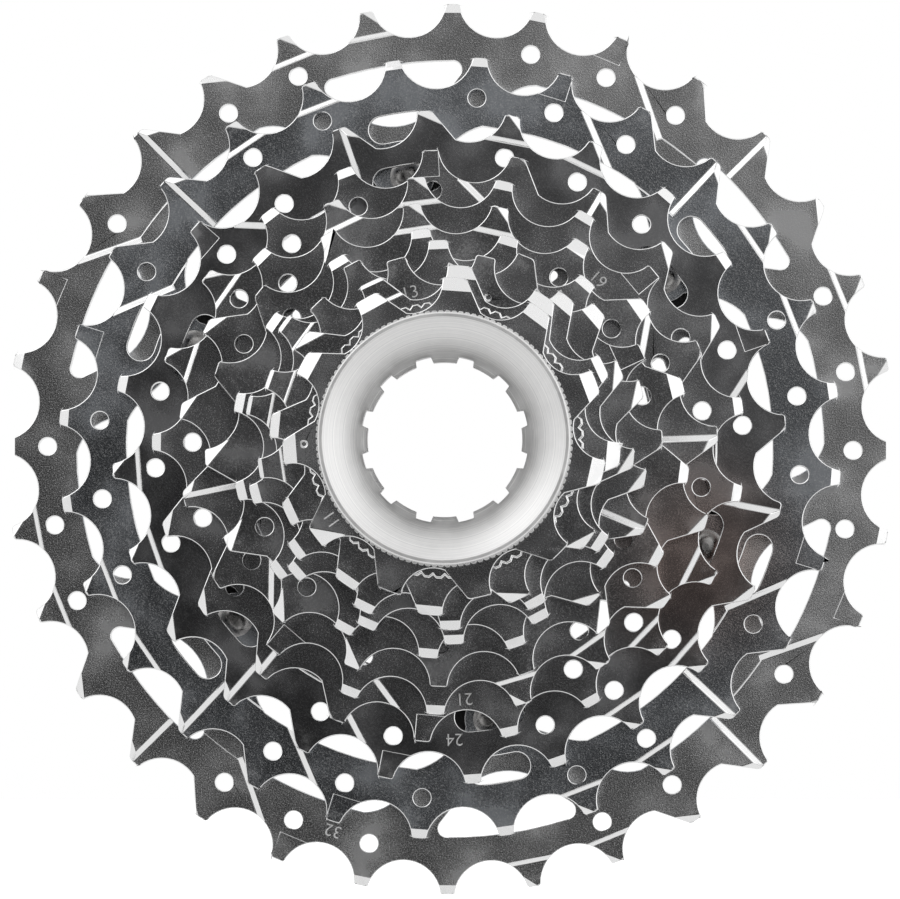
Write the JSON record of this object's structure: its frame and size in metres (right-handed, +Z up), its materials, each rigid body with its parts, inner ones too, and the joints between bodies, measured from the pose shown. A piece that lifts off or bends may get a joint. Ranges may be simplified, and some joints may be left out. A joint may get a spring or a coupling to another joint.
{
  "type": "bicycle cassette",
  "caption": "Bicycle cassette: toothed chrome sprockets of stepped size with shift ramps and spacers on a splined bore, held by a threaded lockring.",
  "frame": {"origin": "on the cassette's axis, in the plane where its carrier and largest sprocket seat against the hub", "axes": "+Y along the axis towards the hub, -Y towards the drive side and lockring, +Z up, as on a standing bicycle"},
  "size_m": [0.1288, 0.0429, 0.1308],
  "materials": {
    "sprocket_chrome": "grained chrome plate on steel, dark and mottled",
    "spacer_black": "moulded black plastic",
    "carrier_black": "black anodised aluminium",
    "rivet_steel": "pressed bright steel",
    "washer_steel": "plain steel",
    "lockring_aluminium": "turned, satin"
  },
  "bodies": {
    "cluster": {"sprocket_32t": "sprocket_chrome", "carrier_spider": "carrier_black", "carrier_rivets": "rivet_steel", "sprocket_28t": "sprocket_chrome", "spacer_28_24": "spacer_black", "sprocket_24t": "sprocket_chrome", "spacer_24_21": "spacer_black", "sprocket_21t": "sprocket_chrome", "spacer_21_19": "spacer_black", "sprocket_19t": "sprocket_chrome", "spacer_19_17": "spacer_black", "sprocket_17t": "sprocket_chrome", "cluster_pins": "rivet_steel"},
    "spacer_17_15": {"spacer_17_15": "spacer_black"},
    "sprocket_15t": {"sprocket_15t": "sprocket_chrome"},
    "spacer_15_14": {"spacer_15_14": "spacer_black"},
    "sprocket_14t": {"sprocket_14t": "sprocket_chrome"},
    "spacer_14_13": {"spacer_14_13": "spacer_black"},
    "sprocket_13t": {"sprocket_13t": "sprocket_chrome"},
    "spacer_13_12": {"spacer_13_12": "spacer_black"},
    "sprocket_12t": {"sprocket_12t": "sprocket_chrome"},
    "sprocket_11t": {"sprocket_11t": "sprocket_chrome"},
    "lockring_washer": {"lockring_washer": "washer_steel"},
    "lockring": {"lockring": "lockring_aluminium"}
  },
  "joints": [
    {"name": "spacer_17_15_slide", "type": "slide", "parent": "cluster", "child": "spacer_17_15", "axis": [0, -1, 0], "range_m": [0, 0.02]},
    {"name": "sprocket_15t_slide", "type": "slide", "parent": "spacer_17_15", "child": "sprocket_15t", "axis": [0, -1, 0], "range_m": [0, 0.02]},
    {"name": "spacer_15_14_slide", "type": "slide", "parent": "sprocket_15t", "child": "spacer_15_14", "axis": [0, -1, 0], "range_m": [0, 0.02]},
    {"name": "sprocket_14t_slide", "type": "slide", "parent": "spacer_15_14", "child": "sprocket_14t", "axis": [0, -1, 0], "range_m": [0, 0.02]},
    {"name": "spacer_14_13_slide", "type": "slide", "parent": "sprocket_14t", "child": "spacer_14_13", "axis": [0, -1, 0], "range_m": [0, 0.02]},
    {"name": "sprocket_13t_slide", "type": "slide", "parent": "spacer_14_13", "child": "sprocket_13t", "axis": [0, -1, 0], "range_m": [0, 0.02]},
    {"name": "spacer_13_12_slide", "type": "slide", "parent": "sprocket_13t", "child": "spacer_13_12", "axis": [0, -1, 0], "range_m": [0, 0.02]},
    {"name": "sprocket_12t_slide", "type": "slide", "parent": "spacer_13_12", "child": "sprocket_12t", "axis": [0, -1, 0], "range_m": [0, 0.02]},
    {"name": "sprocket_11t_slide", "type": "slide", "parent": "sprocket_12t", "child": "sprocket_11t", "axis": [0, -1, 0], "range_m": [0, 0.02]},
    {"name": "lockring_turn", "type": "hinge", "parent": "lockring_washer", "child": "lockring", "pos_m": [0, -0.0404, 0], "axis": [0, -1, 0], "range_deg": [0, 2160]},
    {"name": "lockring_advance", "type": "slide", "parent": "sprocket_11t", "child": "lockring_washer", "axis": [0, -1, 0], "range_m": [0, 0.00636]}
  ],
  "couplings": [
    {"joint": "lockring_advance", "follows": "lockring_turn", "m_per_rad": 0.00016844}
  ]
}
